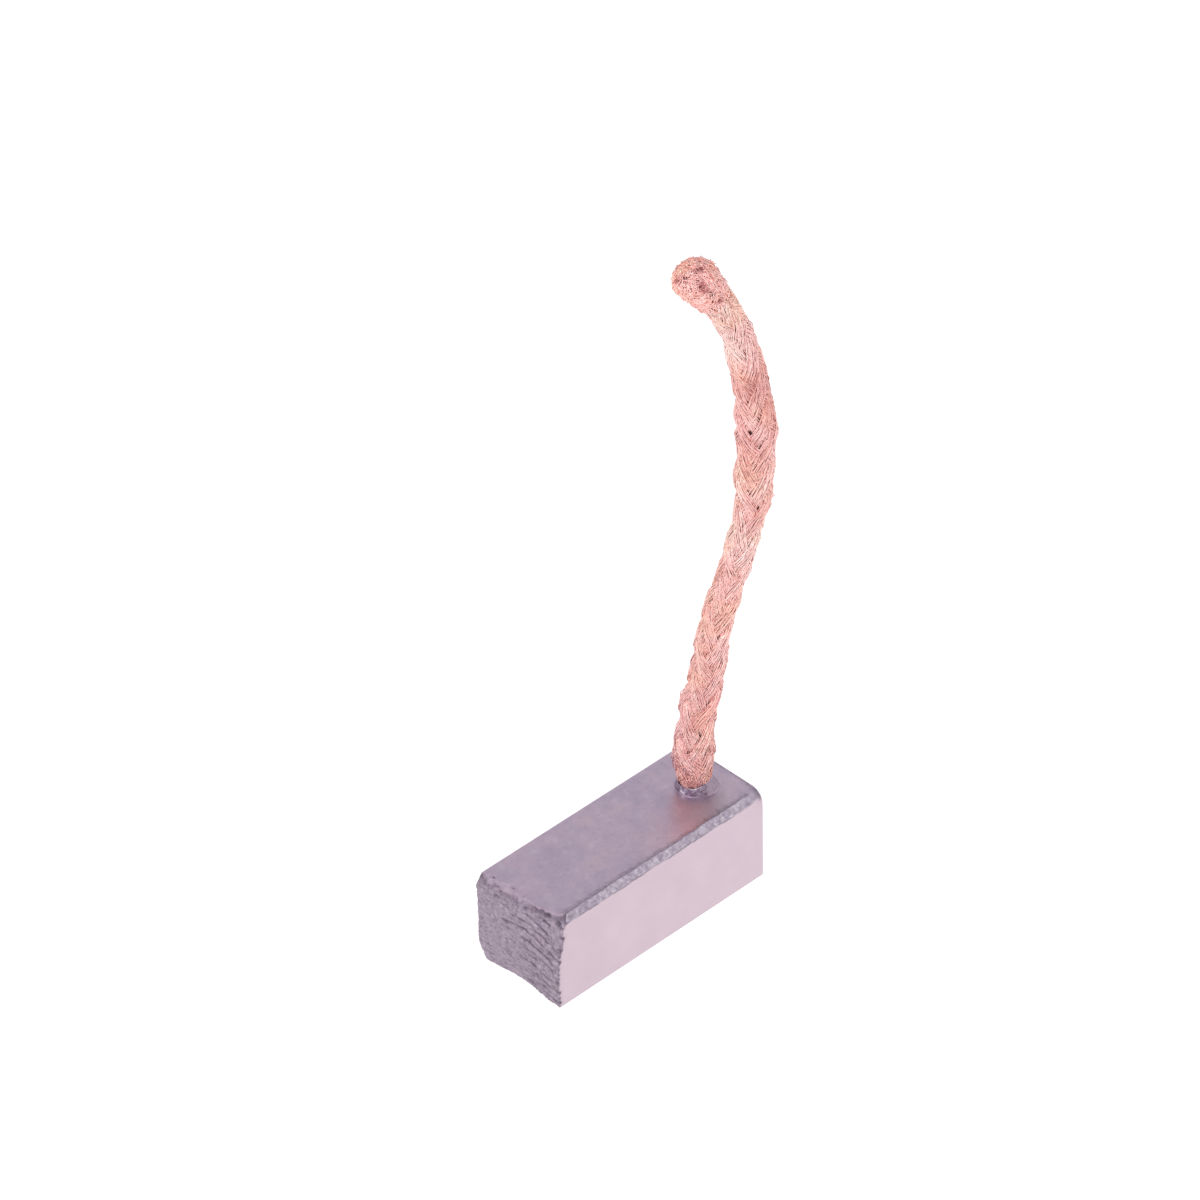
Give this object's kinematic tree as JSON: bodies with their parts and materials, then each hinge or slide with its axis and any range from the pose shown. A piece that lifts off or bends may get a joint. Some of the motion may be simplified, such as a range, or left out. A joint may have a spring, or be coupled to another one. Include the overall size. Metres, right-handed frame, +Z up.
{
  "type": "carbon brush",
  "caption": "Square metal-graphite motor brush lying on its side, with one grooved end and a braided copper lead tamped into its upper face.",
  "frame": {"origin": "middle of the block's footprint, on the surface it lies on", "axes": "+Z up out of the face that the lead leaves; +X along the block from the grooved contact end to the plain end; -Y is the smooth side face under the chamfered edge"},
  "size_m": [0.0286, 0.0102, 0.0699],
  "materials": {
    "metal_graphite": "satin sintered copper-graphite, purple grey",
    "tamping_compound": "dull dark powder compound",
    "bare_copper": "bright bare copper wire"
  },
  "bodies": {
    "root": {"brush_block": "metal_graphite", "tamping_plug": "tamping_compound", "pigtail_lead": "bare_copper"}
  },
  "joints": []
}
